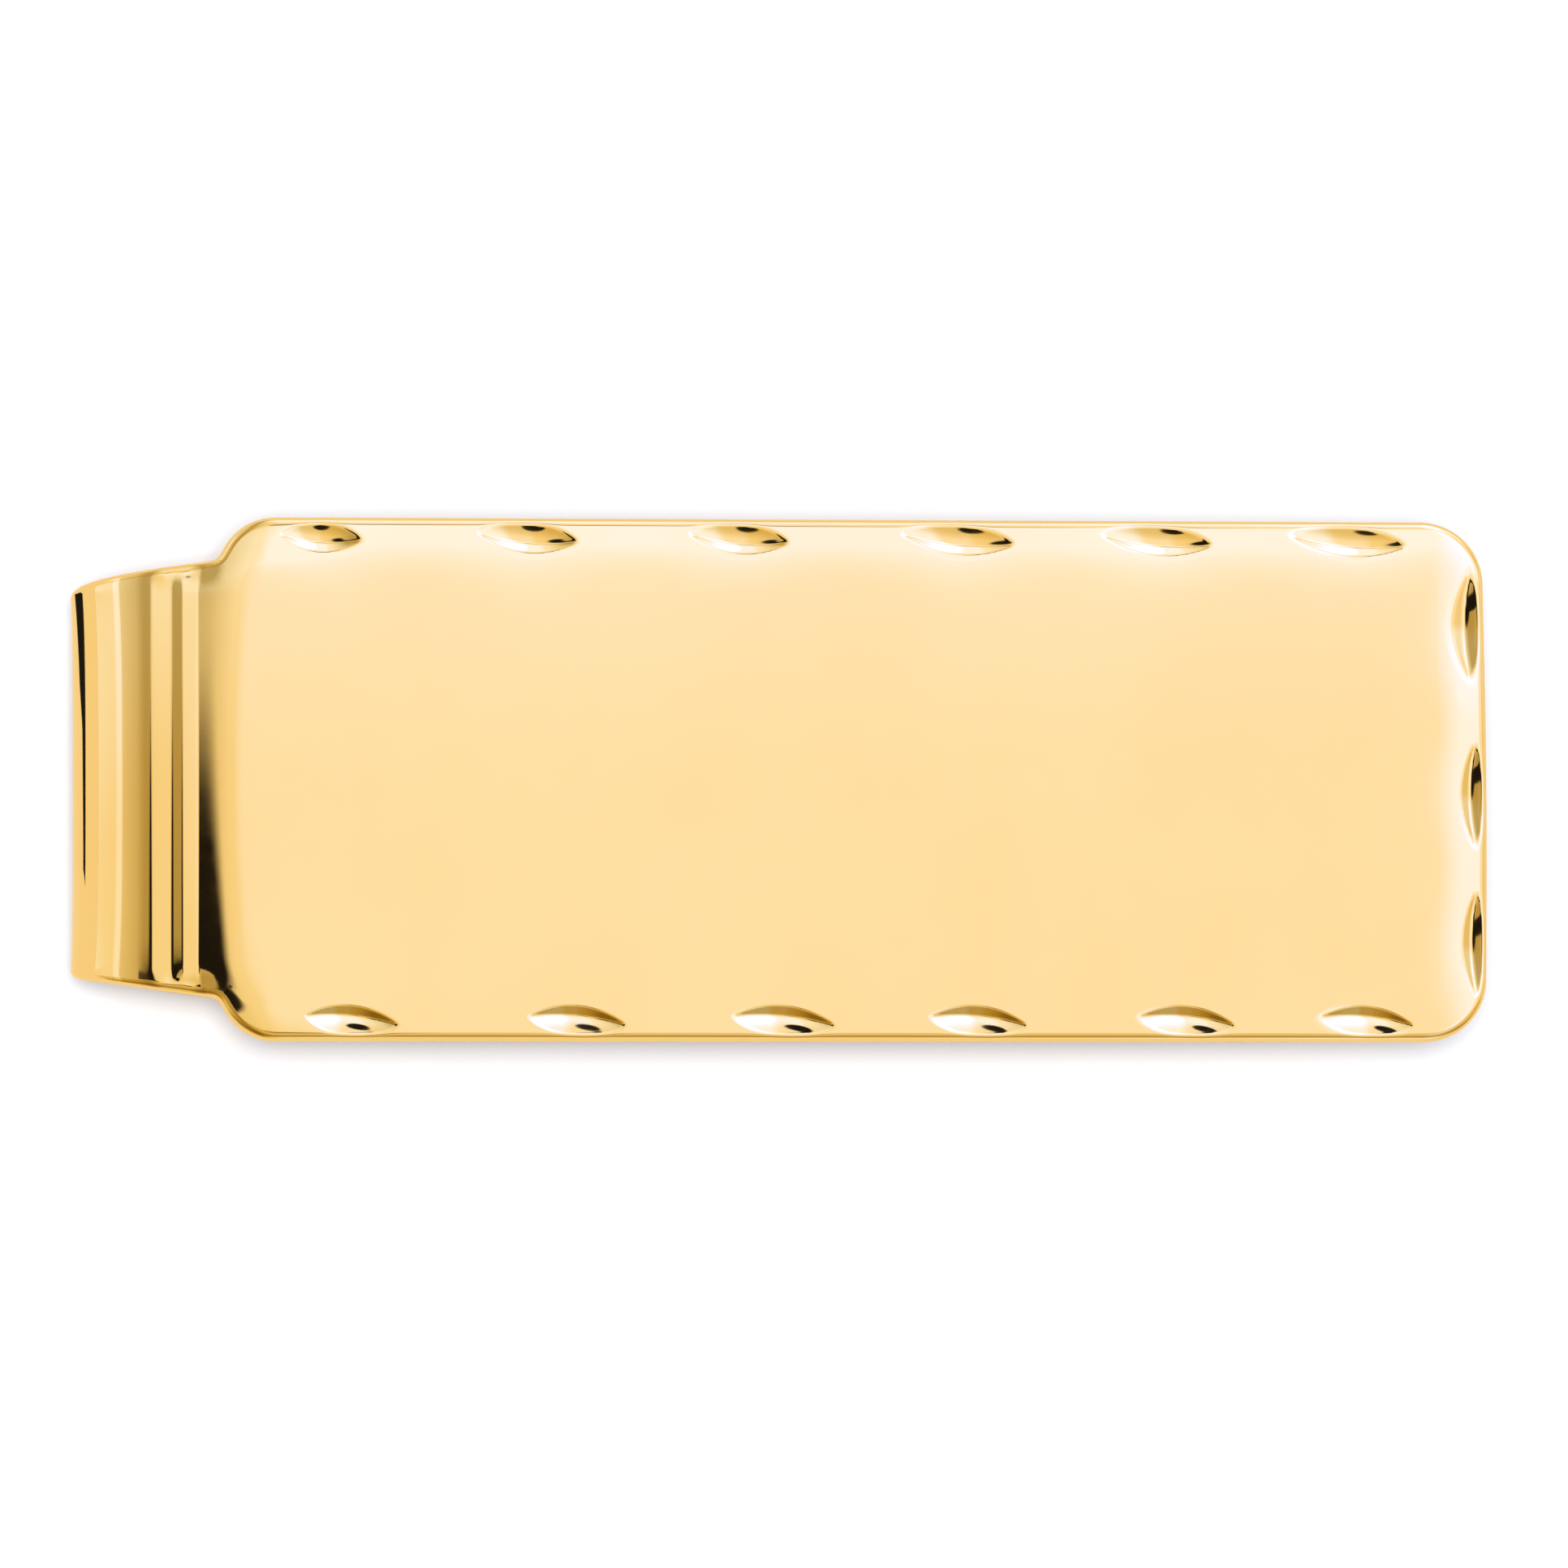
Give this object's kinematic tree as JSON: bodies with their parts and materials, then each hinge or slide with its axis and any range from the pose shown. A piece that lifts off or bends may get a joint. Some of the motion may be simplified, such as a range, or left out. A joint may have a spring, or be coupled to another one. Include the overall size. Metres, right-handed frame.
{
  "type": "money clip",
  "caption": "Slim dress money clip: a polished plate with scalloped edges, rolled over a spring hinge that carries a rear gripping arm with a flared tip.",
  "frame": {"origin": "under the middle of the clip, on the surface that the clip rests on with its plate facing up", "axes": "+X from the hinge to the free end, +Y across the clip, +Z out of the decorated face of the front plate"},
  "size_m": [0.0516, 0.019, 0.006],
  "materials": {
    "gold_plate": "mirror-polished gold plate on brass",
    "hinge_brass": "turned and lightly polished gold-toned brass",
    "spring_steel": "bright rolled spring steel"
  },
  "bodies": {
    "front": {"front_plate": "gold_plate", "hinge_block": "hinge_brass", "hinge_pin": "hinge_brass"},
    "arm": {"rear_arm": "gold_plate", "leaf_spring": "spring_steel", "spring_rivet_1": "hinge_brass", "spring_rivet_2": "hinge_brass"}
  },
  "joints": [
    {"name": "arm_hinge", "type": "hinge", "parent": "front", "child": "arm", "pos_m": [-0.02245, 0, 0.00275], "axis": [0, 1, 0], "range_deg": [0, 75], "stiffness_Nm_per_rad": 0.15, "springref_deg": -17.19}
  ]
}
